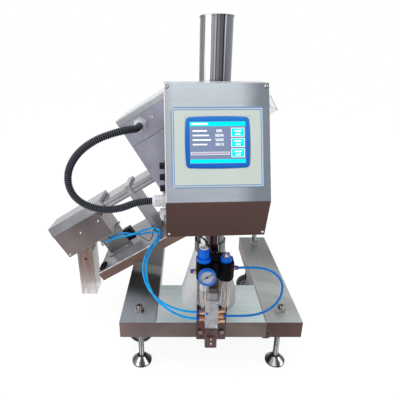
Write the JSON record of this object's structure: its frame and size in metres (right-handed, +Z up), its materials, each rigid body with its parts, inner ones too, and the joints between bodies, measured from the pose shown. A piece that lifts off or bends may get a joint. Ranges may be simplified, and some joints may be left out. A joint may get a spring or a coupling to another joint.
{
  "type": "tablet metal detector",
  "caption": "Inclined metal detector for tablets: search head, clear chute, air-driven reject flap and spout, screen box and mast on a wheeled base",
  "frame": {"origin": "the point of the floor under the mast's axis", "axes": "+Z up along the mast, +X to the right for somebody who reads the screen, +Y to the back"},
  "size_m": [0.7483, 0.5994, 0.936],
  "materials": {
    "brown_steel": "brushed stainless steel that mirrors a brown surround",
    "light_steel": "brushed stainless steel",
    "polished_steel": "polished stainless tube",
    "dark_steel": "turned and pressed steel",
    "blue_plastic": "moulded blue plastic",
    "black_plastic": "moulded black plastic",
    "white_plastic": "moulded white plastic",
    "cream_film": "printed film on a stiff backing",
    "clear_plastic": "clear plastic sheet",
    "tyre_rubber": "moulded grey rubber",
    "brass": "nickelled and plain brass",
    "aluminium": "die cast and anodised",
    "blue_tube": "translucent blue tube",
    "screen_glass": "screen behind clear film",
    "circuit": "lacquered board"
  },
  "bodies": {
    "base": {"rail_left": "brown_steel", "rail_right": "brown_steel", "cross_beam": "brown_steel", "mast_tube": "polished_steel", "mast_foot": "light_steel", "mast_collar": "polished_steel", "caster_plates": "dark_steel", "foot_lock_nuts": "dark_steel", "valve_plate": "brown_steel", "plate_screws": "polished_steel", "filter_body": "black_plastic", "lubricator_body": "black_plastic", "frl_bracket": "black_plastic", "gauge_case": "blue_plastic", "frl_bowls": "clear_plastic", "frl_rings": "blue_plastic", "air_fittings": "brass", "valve_body": "aluminium", "valve_coil": "black_plastic", "supply_tube": "blue_tube", "reject_tubes_lower": "blue_tube"},
    "carriage": {"carriage_sleeve": "brown_steel", "box_shell": "brown_steel", "front_cover": "brown_steel", "membrane_panel": "cream_film", "screen": "screen_glass", "box_fittings": "black_plastic", "control_board": "circuit"},
    "clamp_lever": {"clamp_lever": "dark_steel"},
    "tilt_unit": {"tray": "light_steel", "head_body": "brown_steel", "head_lid": "light_steel", "head_gland": "white_plastic", "chute": "clear_plastic", "chute_stands": "light_steel", "reject_frame": "brown_steel", "reject_cover": "brown_steel", "reject_lid": "light_steel", "spout": "clear_plastic", "air_cylinder": "aluminium", "reject_tubes_upper": "blue_tube", "conduit": "black_plastic"},
    "tilt_lock_knob": {"tilt_lock_knob": "black_plastic"},
    "cylinder_rod": {"cylinder_rod": "polished_steel"},
    "reject_flap": {"reject_flap": "light_steel"},
    "regulator_knob": {"regulator_knob": "blue_plastic"},
    "gauge_needle": {"gauge_needle": "black_plastic"},
    "override_button": {"override_button": "blue_plastic"},
    "foot_front_left": {"foot_front_left": "polished_steel"},
    "caster_fork_front_left": {"caster_fork_front_left": "dark_steel"},
    "caster_wheel_front_left": {"caster_wheel_front_left": "tyre_rubber"},
    "foot_front_right": {"foot_front_right": "polished_steel"},
    "caster_fork_front_right": {"caster_fork_front_right": "dark_steel"},
    "caster_wheel_front_right": {"caster_wheel_front_right": "tyre_rubber"},
    "foot_rear_left": {"foot_rear_left": "polished_steel"},
    "caster_fork_rear_left": {"caster_fork_rear_left": "dark_steel"},
    "caster_wheel_rear_left": {"caster_wheel_rear_left": "tyre_rubber"},
    "foot_rear_right": {"foot_rear_right": "polished_steel"},
    "caster_fork_rear_right": {"caster_fork_rear_right": "dark_steel"},
    "caster_wheel_rear_right": {"caster_wheel_rear_right": "tyre_rubber"}
  },
  "joints": [
    {"name": "mast_slide", "type": "slide", "parent": "base", "child": "carriage", "axis": [0, 0, 1], "range_m": [-0.02, 0.08], "deforming": ["reject_tubes_lower"]},
    {"name": "clamp_lever_turn", "type": "hinge", "parent": "carriage", "child": "clamp_lever", "pos_m": [0.061, -0.027, 0.447], "axis": [0, 1, 0], "range_deg": [-60, 60]},
    {"name": "head_tilt", "type": "hinge", "parent": "carriage", "child": "tilt_unit", "pos_m": [0.07, 0.05, 0.50288], "axis": [0, -1, 0], "range_deg": [-11, 4], "deforming": ["reject_tubes_upper", "conduit"]},
    {"name": "tilt_lock_turn", "type": "hinge", "parent": "tilt_unit", "child": "tilt_lock_knob", "pos_m": [-0.08429, 0.033, 0.41017], "axis": [0, 1, 0], "continuous": true},
    {"name": "flap_hinge", "type": "hinge", "parent": "tilt_unit", "child": "reject_flap", "pos_m": [-0.40025, 0.145, 0.36324], "axis": [0, -1, 0], "range_deg": [0, 50]},
    {"name": "cylinder_rod_slide", "type": "slide", "parent": "tilt_unit", "child": "cylinder_rod", "axis": [0.8572, 0, 0.515], "range_m": [0, 0.0153]},
    {"name": "regulator_turn", "type": "hinge", "parent": "base", "child": "regulator_knob", "pos_m": [-0.0265, -0.1585, 0.42], "axis": [0, 0, 1], "range_deg": [-540, 540]},
    {"name": "needle_turn", "type": "hinge", "parent": "base", "child": "gauge_needle", "pos_m": [-0.02, -0.192, 0.374], "axis": [0, 1, 0], "range_deg": [-195, 75]},
    {"name": "override_press", "type": "slide", "parent": "base", "child": "override_button", "axis": [0, 1, 0], "range_m": [0, 0.002], "stiffness_N_per_m": 500, "springref_m": -0.001},
    {"name": "foot_slide_front_left", "type": "slide", "parent": "base", "child": "foot_front_left", "axis": [0, 0, 1], "range_m": [-0.008, 0.006]},
    {"name": "caster_swivel_front_left", "type": "hinge", "parent": "base", "child": "caster_fork_front_left", "pos_m": [-0.188, 0.006, 0.12], "axis": [0, 0, 1], "continuous": true},
    {"name": "caster_roll_front_left", "type": "hinge", "parent": "caster_fork_front_left", "child": "caster_wheel_front_left", "pos_m": [-0.21, 0.006, 0.0425], "axis": [0, 1, 0], "continuous": true},
    {"name": "foot_slide_front_right", "type": "slide", "parent": "base", "child": "foot_front_right", "axis": [0, 0, 1], "range_m": [-0.008, 0.006]},
    {"name": "caster_swivel_front_right", "type": "hinge", "parent": "base", "child": "caster_fork_front_right", "pos_m": [0.188, 0.006, 0.12], "axis": [0, 0, 1], "continuous": true},
    {"name": "caster_roll_front_right", "type": "hinge", "parent": "caster_fork_front_right", "child": "caster_wheel_front_right", "pos_m": [0.188, 0.028, 0.0425], "axis": [1, 0, 0], "continuous": true},
    {"name": "foot_slide_rear_left", "type": "slide", "parent": "base", "child": "foot_rear_left", "axis": [0, 0, 1], "range_m": [-0.008, 0.006]},
    {"name": "caster_swivel_rear_left", "type": "hinge", "parent": "base", "child": "caster_fork_rear_left", "pos_m": [-0.188, 0.262, 0.12], "axis": [0, 0, 1], "continuous": true},
    {"name": "caster_roll_rear_left", "type": "hinge", "parent": "caster_fork_rear_left", "child": "caster_wheel_rear_left", "pos_m": [-0.188, 0.284, 0.0425], "axis": [1, 0, 0], "continuous": true},
    {"name": "foot_slide_rear_right", "type": "slide", "parent": "base", "child": "foot_rear_right", "axis": [0, 0, 1], "range_m": [-0.008, 0.006]},
    {"name": "caster_swivel_rear_right", "type": "hinge", "parent": "base", "child": "caster_fork_rear_right", "pos_m": [0.188, 0.262, 0.12], "axis": [0, 0, 1], "continuous": true},
    {"name": "caster_roll_rear_right", "type": "hinge", "parent": "caster_fork_rear_right", "child": "caster_wheel_rear_right", "pos_m": [0.166, 0.262, 0.0425], "axis": [0, 1, 0], "continuous": true}
  ],
  "couplings": [
    {"joint": "cylinder_rod_slide", "follows": "flap_hinge", "m_per_rad": 0.01743}
  ]
}
